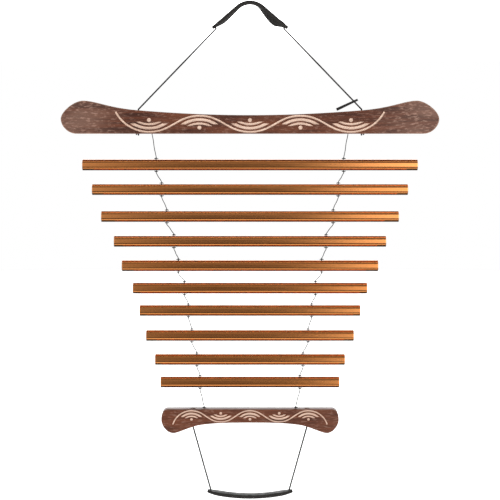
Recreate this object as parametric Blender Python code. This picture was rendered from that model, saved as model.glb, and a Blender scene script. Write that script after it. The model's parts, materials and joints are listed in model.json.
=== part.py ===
"""A hand-held tube chime: ten tuned tubes hung like rungs between two wooden bars.

Run with: blender --background --python part.py
Metres, +Z up, the decorated front faces -Y. The origin is the hang point, on the underside of
the upper hand strap at its peak, where a hand or a hook carries the chime.
"""

import math

import bmesh
import bpy
import numpy as np
from mathutils import Matrix, Vector
from mathutils.geometry import interpolate_bezier

MM = 0.001

# ---------------------------------------------------------------- driving sizes
GAP = 0.3 * MM  # left between pieces that touch on the real object
SLOPE_GAP = 0.36 * MM  # left between a cord's round end and a bar's sloping edge

# Tubes: a major pentatonic scale, so the lengths follow from the longest one.
LONGEST_TUBE = 490 * MM
SEMITONES = (0, 2, 4, 7, 9, 12, 14, 16, 19, 21)  # above the longest tube's note
SHEAR_CORRECTION = 9 * MM  # short tubes ring flat of the slender-rod rule, so they are cut shorter
TUBE_RADIUS = 8 * MM
TUBE_WALL = 1.2 * MM
TUBE_CHAMFER = 0.6 * MM
NODE_SHARE = 0.22  # the cord holes sit at the still points, this share of the length from each end
TUBE_SIDES = 20

# Heights: the knots are tied by hand, so every gap has its own size.
HANG_HEIGHT = 190.5 * MM  # hang point to the upper bar's underside
FIRST_DROP = 45.5 * MM  # upper bar's underside to the first tube's axis
TUBE_DROPS = tuple(d * MM for d in (36, 39.5, 36.5, 36, 33, 33, 37, 35.5, 33.5))
LAST_DROP = 39 * MM  # last tube's axis to the lower bar's flat top
LOWER_HANDLE_DROP = 129 * MM  # lower bar's flat top to the middle of the lower strap

# Bars
BAR_DEPTH = 20 * MM
BAR_EDGE = 1.2 * MM  # rounding of the front and back edges
UPPER_BAR_LENGTH = 551 * MM
UPPER_BAR_WAIST = 27 * MM
UPPER_LOBE_HEIGHT = 48 * MM
LOWER_BAR_LENGTH = 261 * MM
LOWER_BAR_WAIST = 20 * MM
LOWER_LOBE_HEIGHT = 35.5 * MM
LADDER_SPLAY = 6 * MM  # a bar's ladder-cord holes, beyond or inside those of the nearest tube
UPPER_HANDLE_OUTSET = 19.8 * MM  # handle-cord holes, outside the bar's ladder-cord holes
LOWER_HANDLE_OUTSET = 16.3 * MM
DRILL_SIDES = 12
TUBE_DRILL_SIDES = 8

# Cords and knots
HANDLE_CORD_RADIUS = 1.1 * MM
LADDER_CORD_RADIUS = 0.6 * MM
CORD_CLEARANCE = 0.5 * MM  # a cord hole is this much wider in radius than its cord
KNOT_SWELL = 3.0  # a knot's radius, in cord radii
KNOT_HALF = 2.2  # half a knot's height, in cord radii
KNOT_ROOM = 1.2 * MM  # between a knot and the wall of its recess
RECESS_DEPTH = 9 * MM  # of the handle-cord knots in the bars
LADDER_RECESS_DEPTH = 4.5 * MM
TAIL_LENGTH = 2.5 * MM  # the upper knots' cord tails stand out of the bar by this much
CORD_STEP = 10 * MM  # between the points of a handle cord

# Hand straps
STRAP_WIDTH = 17 * MM
STRAP_THICKNESS = 4 * MM
STRAP_EDGE = 0.8 * MM
STRAP_TIP_WIDTH = 5.1 * MM  # across the flat that each round tip ends in
STRAP_END_WALL = 0.7 * MM  # between a knot's recess and the tip
STRAP_RECESS_DEPTH = 2.5 * MM
STRAP_KNOT_HALF = 1.0 * MM  # these knots are pulled flat into the strap
UPPER_STRAP_LENGTH = 137 * MM
LOWER_STRAP_LENGTH = 127 * MM
UPPER_PEAK_RADIUS = 22 * MM
UPPER_LEG_ANGLE = math.radians(41)
UPPER_FLARE_LENGTH = 13 * MM
UPPER_FLARE_ANGLE = math.radians(11)
LOWER_BOW_ANGLE = math.radians(10)
LEFT_ROLL = math.radians(8)  # the upper strap's legs turn their undersides a little to the front
RIGHT_ROLL = math.radians(30)
ROLL_START = 4 * MM  # from the middle, along the strap
ROLL_PEAK_SHARE = 0.76  # where it is greatest, on the way to its end
ROLL_END_MARGIN = 1 * MM  # between the end of the roll and a knot's recess
STRAP_STATIONS = 13  # along each half of a strap, up to its round tip

# Tag threaded on the right upper cord
TAG_LENGTH = 34 * MM
TAG_WIDTH = 10 * MM
TAG_THICKNESS = 3 * MM
TAG_CORNER = 3 * MM  # rounding in plan
TAG_HOLE_INSET = 6 * MM
TAG_SLOPE = math.radians(25)
TAG_CLEARANCE = 2.5 * MM  # under its free end, so that the bar can swing below it
TAG_HIGHEST = 60 * MM  # the tag's hole is at most this far up the cord

# ---------------------------------------------------------------- worked-out sizes
TUBE_LENGTHS = [
    (LONGEST_TUBE + SHEAR_CORRECTION) * 2 ** (-n / 24) - SHEAR_CORRECTION for n in SEMITONES
]
TUBE_HOLE_X = [length * (0.5 - NODE_SHARE) for length in TUBE_LENGTHS]
UPPER_BAR_Z = -HANG_HEIGHT
TUBE_Z = [UPPER_BAR_Z - FIRST_DROP - sum(TUBE_DROPS[:k]) for k in range(len(SEMITONES))]
LOWER_BAR_Z = TUBE_Z[-1] - LAST_DROP
UPPER_LADDER_X = TUBE_HOLE_X[0] + LADDER_SPLAY
LOWER_LADDER_X = TUBE_HOLE_X[-1] - LADDER_SPLAY
UPPER_HANDLE_X = UPPER_LADDER_X + UPPER_HANDLE_OUTSET
LOWER_HANDLE_X = LOWER_LADDER_X + LOWER_HANDLE_OUTSET
LADDER_KNOT_RADIUS = KNOT_SWELL * LADDER_CORD_RADIUS
LADDER_KNOT_HALF = KNOT_HALF * LADDER_CORD_RADIUS
HANDLE_KNOT_RADIUS = KNOT_SWELL * HANDLE_CORD_RADIUS
HANDLE_KNOT_HALF = KNOT_HALF * HANDLE_CORD_RADIUS
STRAP_RECESS_RADIUS = HANDLE_KNOT_RADIUS + CORD_CLEARANCE
STRAP_HOLE_INSET = STRAP_RECESS_RADIUS + STRAP_END_WALL
SIDES = {"left": -1, "right": 1}

# ---------------------------------------------------------------- helpers
PIVOTS = {}  # each body's empty and its place in the world


def material(name, colour, roughness, metallic=0.0):
    made = bpy.data.materials.new(name)
    made.use_nodes = True
    shader = made.node_tree.nodes["Principled BSDF"]
    shader.inputs["Base Color"].default_value = (*colour, 1)
    shader.inputs["Roughness"].default_value = roughness
    shader.inputs["Metallic"].default_value = metallic
    made.diffuse_color = (*colour, 1)
    return made


def pivot(body, parent, at):
    """An empty on the body's joint axis, parented to the empty of the body that carries it."""
    empty = bpy.data.objects.new(body + "_pivot", None)
    bpy.context.collection.objects.link(empty)
    at = Vector(at)
    PIVOTS[body] = empty, at
    if parent:
        empty.parent = PIVOTS[parent][0]
        at = at - PIVOTS[parent][1]
    empty.location = at
    return empty


def place(name, data, body, at, finish=None, turn=None):
    """An object of the body, at a place in the world, as a child of the body's empty."""
    obj = bpy.data.objects.new(name, data)
    bpy.context.collection.objects.link(obj)
    empty, origin = PIVOTS[body]
    obj.parent = empty
    obj.location = Vector(at) - origin
    if turn:
        obj.rotation_euler = turn
    if finish:
        data.materials.append(finish)
    return obj


def finished(bm, name, smooth_angle=35):
    """The bmesh as a mesh with outward faces, smooth on its round sides."""
    bmesh.ops.recalc_face_normals(bm, faces=bm.faces[:])
    mesh = bpy.data.meshes.new(name)
    bm.to_mesh(mesh)
    bm.free()
    mesh.shade_smooth()
    mesh.set_sharp_from_angle(angle=math.radians(smooth_angle))
    return mesh


def cut(obj, cutter):
    """Cuts the cutter out of the object and hides it."""
    boolean = obj.modifiers.new(cutter.name, "BOOLEAN")
    boolean.operation = "DIFFERENCE"
    boolean.solver = "EXACT"
    boolean.object = cutter
    cutter.hide_render = True
    cutter.display_type = "WIRE"


def lathe(bm, profile, axis, sides, closed=False):
    """Spins a profile of points about an axis through the origin into a closed solid."""
    verts = [bm.verts.new(p) for p in profile]
    edges = [bm.edges.new(pair) for pair in zip(verts, verts[1:])]
    if closed:
        edges.append(bm.edges.new((verts[-1], verts[0])))
    bmesh.ops.spin(
        bm, geom=verts + edges, axis=axis, cent=(0, 0, 0), angle=math.tau, steps=sides,
        use_merge=True,
    )
    bmesh.ops.remove_doubles(bm, verts=bm.verts[:], dist=0.001 * MM)


def drill(name, body, at, hole_radius, recess_radius, hole_end, seat, recess_end, turn=None):
    """A cutter for a hole along its local Z from hole_end to the seat, and a recess beyond it."""
    bm = bmesh.new()
    profile = [
        (0, 0, hole_end), (hole_radius, 0, hole_end), (hole_radius, 0, seat),
        (recess_radius, 0, seat), (recess_radius, 0, recess_end), (0, 0, recess_end),
    ]
    lathe(bm, profile, (0, 0, 1), DRILL_SIDES)
    return place(name, finished(bm, name), body, at, turn=turn)


def cord(name, body, stations, radius, finish):
    """A cord through (point, radius) stations in the world, with flat ends."""
    origin = PIVOTS[body][1]
    curve = bpy.data.curves.new(name, "CURVE")
    curve.dimensions = "3D"
    curve.bevel_depth = radius
    curve.bevel_resolution = 2
    curve.use_fill_caps = True
    curve.resolution_u = 1
    curve.render_resolution_u = 0
    spline = curve.splines.new("POLY")
    spline.points.add(len(stations) - 1)
    for point, (place_at, local_radius) in zip(spline.points, stations):
        point.co = (*(Vector(place_at) - origin), 1)
        point.radius = local_radius / radius
    return place(name, curve, body, origin, finish)


def ball_end(centre, towards, radius):
    """Stations of a rounded cord end that can turn about its centre, which is the last of them."""
    away = (Vector(centre) - Vector(towards)).normalized()
    return [
        (Vector(centre) + away * 0.9 * radius, 0.44 * radius),
        (Vector(centre) + away * 0.5 * radius, 0.86 * radius),
        (Vector(centre), radius),
    ]


def knot(start, direction, cord_radius, knot_radius, half):
    """Stations of a knot that starts at a point and swells along a direction."""
    start, direction = Vector(start), Vector(direction)
    shape = ((0, cord_radius), (0.55, knot_radius), (1.45, knot_radius), (2, cord_radius))
    return [(start + direction * offset * half, r) for offset, r in shape]


def bezier_chain(knots, steps):
    """Points along a chain of Bezier stretches: each knot is (point, handle back, handle on)."""
    points = []
    for (p, _, p_on), (q, q_back, _), count in zip(knots, knots[1:], steps):
        p, q = Vector((*p, 0)), Vector((*q, 0))
        stretch = interpolate_bezier(p, p + Vector((*p_on, 0)), q + Vector((*q_back, 0)), q, count + 1)
        points += [(v.x, v.y) for v in stretch[:-1]]
    return points + [tuple(knots[-1][0])]


# ---------------------------------------------------------------- bars
def upper_bar_side():
    """The right half of the upper bar's outline above its flat underside, waist to bottom corner."""
    half = UPPER_BAR_LENGTH / 2
    rise = UPPER_LOBE_HEIGHT - UPPER_BAR_WAIST
    shoulder = UPPER_BAR_WAIST + 0.348 * rise
    knots = [
        ((0, UPPER_BAR_WAIST), (0, 0), (70 * MM, 0)),
        ((half - 110 * MM, shoulder), (-40 * MM, -0.157 * rise), (40 * MM, 0.157 * rise)),
        ((half - 32.5 * MM, UPPER_LOBE_HEIGHT), (-18 * MM, 0), (13 * MM, 0)),
        ((half, 0.45 * UPPER_LOBE_HEIGHT), (0, 10.5 * MM), (0, -10.7 * MM)),
        ((half - 22.5 * MM, 0), (12 * MM, 0), (0, 0)),
    ]
    return bezier_chain(knots, (6, 7, 8, 6))


def lower_bar_side():
    """The right half of the lower bar's outline, as depth below its flat top, waist to top corner."""
    half = LOWER_BAR_LENGTH / 2
    rise = LOWER_LOBE_HEIGHT - LOWER_BAR_WAIST
    shoulder = LOWER_BAR_WAIST + 0.213 * rise
    knots = [
        ((0, LOWER_BAR_WAIST), (0, 0), (35 * MM, 0)),
        ((half - 58.5 * MM, shoulder), (-20 * MM, -0.174 * rise), (16 * MM, 0.142 * rise)),
        ((half - 17.5 * MM, LOWER_LOBE_HEIGHT), (-8 * MM, 0), (9 * MM, 0)),
        ((half, 0.43 * LOWER_LOBE_HEIGHT), (0, 9.5 * MM), (0, -9.5 * MM)),
        ((half - 9.5 * MM, 0), (6 * MM, 0), (0, 0)),
    ]
    return bezier_chain(knots, (5, 5, 7, 6))


def height_at(side, x):
    """The height of a half outline's curved edge at x, up to its lobe."""
    lobe = int(np.argmax([p[1] for p in side]))
    xs, heights = zip(*side[: lobe + 1])
    return float(np.interp(x, xs, heights))


def bar(name, body, z, side, up, finish):
    """A bar with both halves of its outline, its flat long edge at height z."""
    outline = side + [(-x, h) for x, h in reversed(side) if x]
    bm = bmesh.new()
    face = bm.faces.new([bm.verts.new((x, -BAR_DEPTH / 2, up * h)) for x, h in outline])
    swept = bmesh.ops.extrude_face_region(bm, geom=[face])["geom"]
    moved = [v for v in swept if isinstance(v, bmesh.types.BMVert)]
    bmesh.ops.translate(bm, verts=moved, vec=(0, BAR_DEPTH, 0))
    rims = [e for e in bm.edges if abs(e.verts[0].co.y - e.verts[1].co.y) < BAR_DEPTH / 2]
    bmesh.ops.bevel(
        bm, geom=rims, offset=BAR_EDGE, offset_type="OFFSET", segments=2, profile=0.5,
        affect="EDGES", material=-1,
    )
    return place(name, finished(bm, name, 30), body, (0, 0, z), finish)


# ---------------------------------------------------------------- straps
def half_strap(half_length, stretches):
    """A function from a distance along the strap to (x, z, slope) of its middle line.

    The stretches are (length, turn) from the strap's middle outwards, turning downwards.
    """
    step = 0.25 * MM
    x = z = slope = walked = 0.0
    line = [(0.0, 0.0, 0.0, 0.0)]
    for length, turn in stretches:
        count = max(1, round(length / step))
        for _ in range(count):
            x += math.cos(slope + turn / count / 2) * length / count
            z -= math.sin(slope + turn / count / 2) * length / count
            slope += turn / count
            walked += length / count
            line.append((walked, x, z, slope))
    walks, xs, zs, slopes = (np.array(column) for column in zip(*line))

    def at(s):
        side = math.copysign(1, s)
        s = min(abs(s), half_length)
        return (
            side * float(np.interp(s, walks, xs)),
            float(np.interp(s, walks, zs)),
            side * float(np.interp(s, walks, slopes)),
        )

    return at


def smooth_step(share):
    """0 below 0, 1 above 1 and a smooth rise between."""
    share = min(1.0, max(0.0, share))
    return share * share * (3 - 2 * share)


def upper_roll(s):
    """How far the upper strap rolls its underside to the front, at a distance along it."""
    roll = RIGHT_ROLL if s > 0 else LEFT_ROLL
    end = UPPER_STRAP_LENGTH / 2 - STRAP_HOLE_INSET - STRAP_RECESS_RADIUS - ROLL_END_MARGIN
    peak = ROLL_START + ROLL_PEAK_SHARE * (end - ROLL_START)
    rise = smooth_step((abs(s) - ROLL_START) / (peak - ROLL_START))
    return roll * rise * smooth_step((end - abs(s)) / (end - peak))


def strap(name, body, at, half_length, line, roll, finish):
    """A flat band with round tips that follows a bent line in the XZ plane and rolls about it."""
    round_end = STRAP_WIDTH / 2
    tip_angles = [math.radians(a) for a in (15, 32, 50, 70)]
    tips = [half_length - round_end * (1 - math.cos(a)) for a in tip_angles]
    inner = list(np.linspace(0, half_length - round_end, STRAP_STATIONS))
    outward = [half_length] + tips + inner[::-1]
    stations = [-s for s in outward[:-1]] + [0.0] + outward[:-1][::-1]
    bm = bmesh.new()
    loops = []
    for s in stations:
        beyond = max(0.0, abs(s) - (half_length - round_end)) / round_end
        w = max(STRAP_WIDTH / 2 * math.sqrt(1 - beyond**2), STRAP_TIP_WIDTH / 2)
        x, z, slope = line(s)
        h, e = STRAP_THICKNESS / 2, STRAP_EDGE
        ring = (
            (-w + e, -h), (w - e, -h), (w, -h + e), (w, h - e),
            (w - e, h), (-w + e, h), (-w, h - e), (-w, -h + e),
        )
        normal = Vector((math.sin(slope), 0, math.cos(slope)))
        along_y = Vector((0, 1, 0))
        turn = roll(s)
        across = along_y * math.cos(turn) - normal * math.sin(turn)
        out = normal * math.cos(turn) + along_y * math.sin(turn)
        centre = Vector((x, 0, z))
        verts = [bm.verts.new(centre + across * y + out * n) for y, n in ring]
        loops.append([bm.edges.new(pair) for pair in zip(verts, verts[1:] + verts[:1])])
    for near, far in zip(loops, loops[1:]):
        bmesh.ops.bridge_loops(bm, edges=near + far)
    for end in (loops[0], loops[-1]):
        bmesh.ops.holes_fill(bm, edges=end, sides=0)
    return place(name, finished(bm, name), body, at, finish)


def strap_hole(line, half_length, side, outer):
    """Where a strap's cord hole crosses its middle line, and the way to its knot's face."""
    x, z, slope = line(side * (half_length - STRAP_HOLE_INSET))
    return Vector((x, 0, z)), Vector((math.sin(slope), 0, math.cos(slope))) * outer


def strap_with_knots(prefix, body, at, half_length, line, roll, outer, finish, cord_finish):
    """A strap, its two drilled holes and the flattened knots in them. Returns the cord pivots."""
    band = strap(prefix + "_strap", body, at, half_length, line, roll, finish)
    hole = HANDLE_CORD_RADIUS + CORD_CLEARANCE
    seat = STRAP_THICKNESS / 2 - STRAP_RECESS_DEPTH
    pivots = {}
    for word, side in SIDES.items():
        centre, to_knot = strap_hole(line, half_length, side, outer)
        centre = centre + Vector(at)
        turn = Vector((0, 0, 1)).rotation_difference(to_knot).to_euler()
        cutter = drill(
            f"{prefix}_strap_drill_{word}", body, centre, hole, STRAP_RECESS_RADIUS,
            -STRAP_THICKNESS, seat, STRAP_THICKNESS, turn,
        )
        cut(band, cutter)
        stub = [(centre - to_knot * STRAP_THICKNESS / 2, HANDLE_CORD_RADIUS)]
        bead = knot(
            centre + to_knot * (seat + GAP), to_knot,
            HANDLE_CORD_RADIUS, HANDLE_KNOT_RADIUS, STRAP_KNOT_HALF,
        )
        cord(f"{prefix}_strap_knot_{word}", body, stub + bead, HANDLE_CORD_RADIUS, cord_finish)
        pivots[word] = centre - to_knot * (STRAP_THICKNESS / 2 + GAP + HANDLE_CORD_RADIUS)
    return pivots


def handle_cord(name, body, top, bottom, finish):
    """A straight taut cord between two ball ends, with a point every few diameters."""
    count = max(2, round((Vector(top) - Vector(bottom)).length / CORD_STEP))
    inner = [Vector(top).lerp(Vector(bottom), k / count) for k in range(1, count)]
    stations = ball_end(top, bottom, HANDLE_CORD_RADIUS)
    stations += [(p, HANDLE_CORD_RADIUS) for p in inner]
    stations += ball_end(bottom, top, HANDLE_CORD_RADIUS)[::-1]
    cord(name, body, stations, HANDLE_CORD_RADIUS, finish)


# ---------------------------------------------------------------- tubes and ladder cords
def tube(name, body, z, length, hole_x, finish):
    """An open-ended tube along X with chamfered rims and two cross-drilled cord holes."""
    outer, inner, c = TUBE_RADIUS, TUBE_RADIUS - TUBE_WALL, TUBE_CHAMFER
    rim = min(c, TUBE_WALL / 3)
    end = length / 2
    profile = [
        (-end + c, outer), (end - c, outer), (end, outer - c), (end, inner + rim),
        (end - rim, inner), (-end + rim, inner), (-end, inner + rim), (-end, outer - c),
    ]
    bm = bmesh.new()
    lathe(bm, [(x, 0, r) for x, r in profile], (1, 0, 0), TUBE_SIDES, closed=True)
    pipe = place(name, finished(bm, name), body, (0, 0, z), finish)
    bm = bmesh.new()
    for side in SIDES.values():
        bmesh.ops.create_cone(
            bm, cap_ends=True, segments=TUBE_DRILL_SIDES, radius1=LADDER_CORD_RADIUS + CORD_CLEARANCE,
            radius2=LADDER_CORD_RADIUS + CORD_CLEARANCE, depth=3 * TUBE_RADIUS,
            matrix=Matrix.Translation((side * hole_x, 0, 0)),
        )
    cut(pipe, place(name + "_drill", finished(bm, name + "_drill"), body, (0, 0, z)))


def ladder_knot_height():
    """What one ladder knot takes up below or above a tube, with its gap."""
    return GAP + 2 * LADDER_KNOT_HALF


def ladder_pivot_z(under):
    """The height about which a ladder cord turns, just below a face or a knot's lower end."""
    return under - GAP - LADDER_CORD_RADIUS


def ladder_stretch(name, body, start, x, top, bottom, finish):
    """A stretch from its ball end at start to x, knotted over top and under bottom."""
    down = (0, 0, -1)
    over = Vector((x, 0, top + ladder_knot_height()))
    stations = ball_end(start, over, LADDER_CORD_RADIUS)
    stations += knot(over, down, LADDER_CORD_RADIUS, LADDER_KNOT_RADIUS, LADDER_KNOT_HALF)
    stations += knot(
        (x, 0, bottom - GAP), down, LADDER_CORD_RADIUS, LADDER_KNOT_RADIUS, LADDER_KNOT_HALF
    )
    cord(name, body, stations, LADDER_CORD_RADIUS, finish)


# ---------------------------------------------------------------- assembly
def bar_hole(beam, name, body, x, recess_floor, up, cord_radius):
    """Drills a bar through for a cord, and widens the hole past its knot's recess floor."""
    hole = cord_radius + CORD_CLEARANCE
    recess = KNOT_SWELL * cord_radius + KNOT_ROOM
    past = up * UPPER_LOBE_HEIGHT
    cut(beam, drill(name, body, (x, 0, recess_floor), hole, recess, -past, 0, past))


def bar_knot(name, body, x, face, recess_floor, up, tail, cord_radius, finish):
    """A cord end in a bar: in at the face, knotted in the recess, its tail going on beyond."""
    half = KNOT_HALF * cord_radius
    way = Vector((0, 0, up))
    stations = [(Vector((x, 0, face)), cord_radius)]
    start = Vector((x, 0, recess_floor)) + way * GAP
    stations += knot(start, way, cord_radius, KNOT_SWELL * cord_radius, half)
    stations.append((start + way * (2 * half + tail), cord_radius))
    cord(name, body, stations, cord_radius, finish)


def tag_hole_height(cord_end, along, side):
    """How far up its cord the tag's hole sits for the free end to clear the upper bar."""
    back = Vector((-math.cos(TAG_SLOPE), 0, -math.sin(TAG_SLOPE)))
    under = Vector((math.sin(TAG_SLOPE), 0, -math.cos(TAG_SLOPE)))
    corner = cord_end + back * (TAG_LENGTH - TAG_HOLE_INSET) + under * TAG_THICKNESS / 2
    heights = np.linspace(0, TAG_HIGHEST, 601)
    corners = [corner + along * float(h) for h in heights]
    clear = [c.z - UPPER_BAR_Z - height_at(side, c.x) for c in corners]
    return float(np.interp(TAG_CLEARANCE, clear, heights))


def tag(body, hole_at, along, finish):
    """A flat tag whose hole follows the cord through it and whose free end leans on the bar."""
    half = Vector((TAG_LENGTH, TAG_WIDTH, TAG_THICKNESS)) / 2
    bm = bmesh.new()
    bmesh.ops.create_cube(bm, size=1, matrix=Matrix.Diagonal((*(half * 2), 1)))
    uprights = [e for e in bm.edges if abs(e.verts[0].co.z - e.verts[1].co.z) > TAG_THICKNESS / 2]
    bmesh.ops.bevel(
        bm, geom=uprights, offset=TAG_CORNER, offset_type="OFFSET", segments=3,
        profile=0.5, affect="EDGES", material=-1,
    )
    back = Vector((-math.cos(TAG_SLOPE), 0, -math.sin(TAG_SLOPE)))
    centre = hole_at + back * (TAG_LENGTH / 2 - TAG_HOLE_INSET)
    plate = place("cord_tag", finished(bm, "cord_tag"), body, centre, finish, (0, -TAG_SLOPE, 0))
    radius = HANDLE_CORD_RADIUS + CORD_CLEARANCE
    turn = Vector((0, 0, 1)).rotation_difference(along).to_euler()
    cutter = drill(
        "cord_tag_drill", body, hole_at, radius, radius, -TAG_WIDTH, 0, TAG_WIDTH, turn
    )
    cut(plate, cutter)


def upper_half(wood, cord_black, strap_black, tag_black):
    """The strap, its cords, the tag and the upper bar with every knot in it."""
    half = UPPER_STRAP_LENGTH / 2
    peak = UPPER_PEAK_RADIUS * UPPER_LEG_ANGLE
    leg = half - peak - UPPER_FLARE_LENGTH
    stretches = ((peak, UPPER_LEG_ANGLE), (leg, 0), (UPPER_FLARE_LENGTH, -UPPER_FLARE_ANGLE))
    line = half_strap(half, stretches)
    pivot("upper_strap", None, (0, 0, 0))
    middle = (0, 0, STRAP_THICKNESS / 2)
    tops = strap_with_knots(
        "upper", "upper_strap", middle, half, line, upper_roll, 1, strap_black, cord_black
    )
    side = upper_bar_side()
    bar_top = UPPER_BAR_Z + height_at(side, UPPER_HANDLE_X)
    bar_pivot_z = bar_top + SLOPE_GAP + HANDLE_CORD_RADIUS
    pivot("upper_cords", "upper_strap", (0, 0, tops["left"].z))
    for word, sign in SIDES.items():
        bottom = (sign * UPPER_HANDLE_X, 0, bar_pivot_z)
        handle_cord(f"upper_cord_{word}", "upper_cords", tops[word], bottom, cord_black)

    cord_end = Vector((UPPER_HANDLE_X, 0, bar_pivot_z))
    along = (tops["right"] - cord_end).normalized()
    hole_at = cord_end + along * tag_hole_height(cord_end, along, side)
    pivot("cord_tag", "upper_cords", hole_at)
    tag("cord_tag", hole_at, along, tag_black)

    pivot("upper_bar", "upper_cords", (0, 0, bar_pivot_z))
    beam = bar("upper_bar", "upper_bar", UPPER_BAR_Z, side, 1, wood)
    handle_floor = UPPER_BAR_Z + RECESS_DEPTH
    handle_tail = RECESS_DEPTH - GAP - 2 * HANDLE_KNOT_HALF + TAIL_LENGTH
    ladder_floor = UPPER_BAR_Z + height_at(side, UPPER_LADDER_X) - LADDER_RECESS_DEPTH
    for word, sign in SIDES.items():
        handle_x = sign * UPPER_HANDLE_X
        bar_hole(
            beam, f"upper_handle_drill_{word}", "upper_bar", handle_x, handle_floor, -1,
            HANDLE_CORD_RADIUS,
        )
        bar_knot(
            f"upper_bar_knot_{word}", "upper_bar", handle_x, bar_top, handle_floor, -1,
            handle_tail, HANDLE_CORD_RADIUS, cord_black,
        )
        ladder_x = sign * UPPER_LADDER_X
        bar_hole(
            beam, f"upper_ladder_drill_{word}", "upper_bar", ladder_x, ladder_floor, 1,
            LADDER_CORD_RADIUS,
        )
        bar_knot(
            f"ladder_top_{word}", "upper_bar", ladder_x, UPPER_BAR_Z, ladder_floor, 1,
            LADDER_CORD_RADIUS, LADDER_CORD_RADIUS, cord_black,
        )


def rungs(tube_finish, cord_black):
    """Every tube with the pair of ladder-cord stretches that carries it."""
    start_x, under, parent = UPPER_LADDER_X, UPPER_BAR_Z, "upper_bar"
    for k, (length, x, z) in enumerate(zip(TUBE_LENGTHS, TUBE_HOLE_X, TUBE_Z), 1):
        body = f"rung_{k:02d}"
        pivot_z = ladder_pivot_z(under)
        pivot(body, parent, (0, 0, pivot_z))
        tube(f"tube_{k:02d}", body, z, length, x, tube_finish)
        for word, sign in SIDES.items():
            ladder_stretch(
                f"ladder_{k:02d}_{word}", body, (sign * start_x, 0, pivot_z),
                sign * x, z + TUBE_RADIUS, z - TUBE_RADIUS, cord_black,
            )
        start_x, under, parent = x, z - TUBE_RADIUS - ladder_knot_height(), body
    return start_x, under, parent


def lower_half(start_x, under, parent, wood, cord_black, strap_black):
    """The lower bar on the last ladder stretches, and the lower strap on its two cords."""
    side = lower_bar_side()
    pivot_z = ladder_pivot_z(under)
    pivot("lower_bar", parent, (0, 0, pivot_z))
    beam = bar("lower_bar", "lower_bar", LOWER_BAR_Z, side, -1, wood)
    handle_under = LOWER_BAR_Z - height_at(side, LOWER_HANDLE_X)
    handle_floor = LOWER_BAR_Z - RECESS_DEPTH
    ladder_floor = LOWER_BAR_Z - height_at(side, LOWER_LADDER_X) + LADDER_RECESS_DEPTH
    for word, sign in SIDES.items():
        handle_x = sign * LOWER_HANDLE_X
        bar_hole(
            beam, f"lower_handle_drill_{word}", "lower_bar", handle_x, handle_floor, 1,
            HANDLE_CORD_RADIUS,
        )
        bar_knot(
            f"lower_bar_knot_{word}", "lower_bar", handle_x, handle_under, handle_floor, 1,
            HANDLE_CORD_RADIUS, HANDLE_CORD_RADIUS, cord_black,
        )
        ladder_x = sign * LOWER_LADDER_X
        bar_hole(
            beam, f"lower_ladder_drill_{word}", "lower_bar", ladder_x, ladder_floor, -1,
            LADDER_CORD_RADIUS,
        )
        ladder_stretch(
            f"ladder_11_{word}", "lower_bar", (sign * start_x, 0, pivot_z), ladder_x,
            LOWER_BAR_Z, ladder_floor, cord_black,
        )

    half = LOWER_STRAP_LENGTH / 2
    line = half_strap(half, ((half, -LOWER_BOW_ANGLE),))
    middle = Vector((0, 0, LOWER_BAR_Z - LOWER_HANDLE_DROP))
    cords_z = handle_under - SLOPE_GAP - HANDLE_CORD_RADIUS
    pivot("lower_cords", "lower_bar", (0, 0, cords_z))
    hole, to_knot = strap_hole(line, half, 1, -1)
    to_pivot = STRAP_THICKNESS / 2 + GAP + HANDLE_CORD_RADIUS
    strap_pivot = middle + hole - to_knot * to_pivot
    pivot("lower_strap", "lower_cords", (0, 0, strap_pivot.z))
    bottoms = strap_with_knots(
        "lower", "lower_strap", middle, half, line, lambda s: 0.0, -1, strap_black, cord_black
    )
    for word, sign in SIDES.items():
        top = (sign * LOWER_HANDLE_X, 0, cords_z)
        handle_cord(f"lower_cord_{word}", "lower_cords", top, bottoms[word], cord_black)


def main():
    for obj in list(bpy.data.objects):
        bpy.data.objects.remove(obj, do_unlink=True)
    wood = material("dark_wood", (0.13, 0.055, 0.035), 0.55)
    copper = material("anodised_tube", (0.45, 0.2, 0.08), 0.25, 0.9)
    cord_black = material("black_cord", (0.02, 0.02, 0.02), 0.8)
    strap_black = material("black_strap", (0.03, 0.028, 0.027), 0.7)
    tag_black = material("black_tag", (0.025, 0.022, 0.022), 0.6)
    upper_half(wood, cord_black, strap_black, tag_black)
    start_x, under, parent = rungs(copper, cord_black)
    lower_half(start_x, under, parent, wood, cord_black, strap_black)
    bpy.context.view_layer.update()


main()
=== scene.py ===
# %% [markdown]
# # A hand-held tube chime
# Ten metal tubes hang like the rungs of a rope ladder on two thin knotted cords, between a long
# wooden bar above and a short one below. Each bar ends in a black hand strap on black cord.
# The fixed model gives every piece its place. This lesson builds the finished surfaces over it.

# %% Load the fixed model
import json
import math

import bmesh
import bpy
from mathutils import Matrix, Vector


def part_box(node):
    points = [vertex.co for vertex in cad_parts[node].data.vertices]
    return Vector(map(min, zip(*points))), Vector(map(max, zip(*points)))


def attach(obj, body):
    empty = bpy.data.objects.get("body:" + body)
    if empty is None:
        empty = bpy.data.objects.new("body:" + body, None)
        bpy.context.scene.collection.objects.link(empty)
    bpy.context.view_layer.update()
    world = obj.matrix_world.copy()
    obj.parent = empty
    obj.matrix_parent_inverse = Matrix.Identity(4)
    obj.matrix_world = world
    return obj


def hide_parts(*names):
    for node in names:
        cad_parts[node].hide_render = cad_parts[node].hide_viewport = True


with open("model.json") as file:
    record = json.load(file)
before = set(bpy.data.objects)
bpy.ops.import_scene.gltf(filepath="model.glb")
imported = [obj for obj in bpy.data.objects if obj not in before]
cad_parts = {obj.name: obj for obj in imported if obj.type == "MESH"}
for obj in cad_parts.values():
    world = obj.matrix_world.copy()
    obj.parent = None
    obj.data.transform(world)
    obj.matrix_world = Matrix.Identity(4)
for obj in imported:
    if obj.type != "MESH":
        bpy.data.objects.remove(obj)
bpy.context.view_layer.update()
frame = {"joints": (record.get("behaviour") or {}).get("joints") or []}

MM = 0.001
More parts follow.
